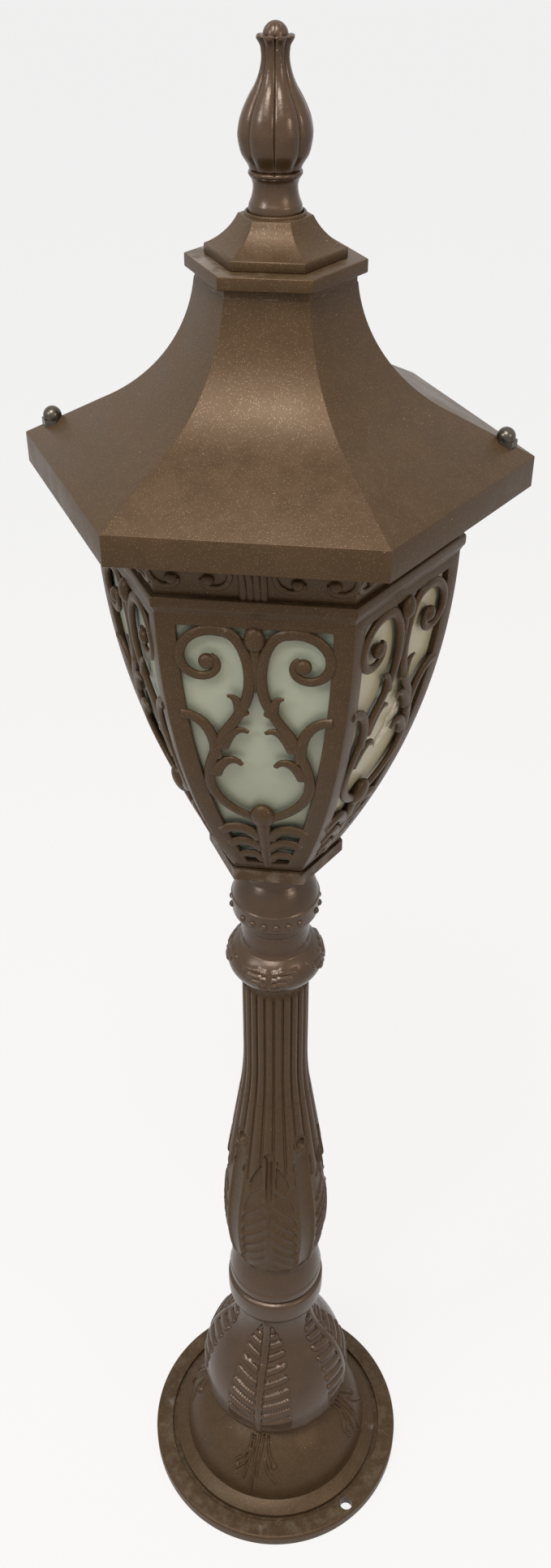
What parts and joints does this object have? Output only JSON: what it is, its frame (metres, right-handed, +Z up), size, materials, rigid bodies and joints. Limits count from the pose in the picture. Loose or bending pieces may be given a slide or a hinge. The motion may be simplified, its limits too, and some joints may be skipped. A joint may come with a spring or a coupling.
{
  "type": "garden post light",
  "caption": "Hexagonal pierced lantern with frosted panes on a fluted post, with a domed bell base on a round bolt-down plate.",
  "frame": {"origin": "middle of the underside of the base plate", "axes": "+Z up along the post; two corners of the hexagonal lantern and both roof nuts lie along X; one side of the lantern faces -Y"},
  "size_m": [0.2596, 0.2248, 1.1453],
  "materials": {
    "bronze_coat": "cast aluminium with a satin bronze-brown coat, dusty and slightly worn on its edges",
    "dark_coat": "cast aluminium with a glossier dark bronze coat",
    "frosted_glass": "frosted pale green-grey glass",
    "sealant": "cured cream silicone, uneven at its edges",
    "screw_steel": "zinc-plated steel",
    "dark_nickel": "dulled nickel plating with a warm cast",
    "black_rubber": "soft black rubber",
    "holder_brass": "dull brass",
    "porcelain": "glazed white porcelain",
    "bulb_glass": "opal white glass"
  },
  "bodies": {
    "root": {"base_casting": "bronze_coat", "post_shaft": "bronze_coat", "neck_cup": "dark_coat", "lantern_tray": "bronze_coat", "lantern_cage": "bronze_coat", "glass_pane_1": "frosted_glass", "glass_pane_2": "frosted_glass", "glass_pane_3": "frosted_glass", "glass_pane_4": "frosted_glass", "glass_pane_5": "frosted_glass", "glass_pane_6": "frosted_glass", "pane_sealant": "sealant", "cornice_ring": "bronze_coat", "cornice_screws": "screw_steel", "roof_shell": "bronze_coat", "roof_studs": "screw_steel", "roof_washers": "dark_nickel", "roof_cap_nuts": "dark_nickel", "crown_cap": "bronze_coat", "finial": "dark_coat", "finial_stud": "screw_steel", "finial_washer": "screw_steel", "finial_nut": "screw_steel", "tie_rod": "screw_steel", "rod_washer_lower": "screw_steel", "rod_nut_lower": "screw_steel", "rod_washer_upper": "screw_steel", "rod_nut_upper": "screw_steel", "cable_bushing": "black_rubber", "cage_screws": "screw_steel", "holder_cap": "holder_brass", "lamp_holder": "porcelain", "holder_sleeve": "holder_brass", "bulb": "bulb_glass"}
  },
  "joints": []
}
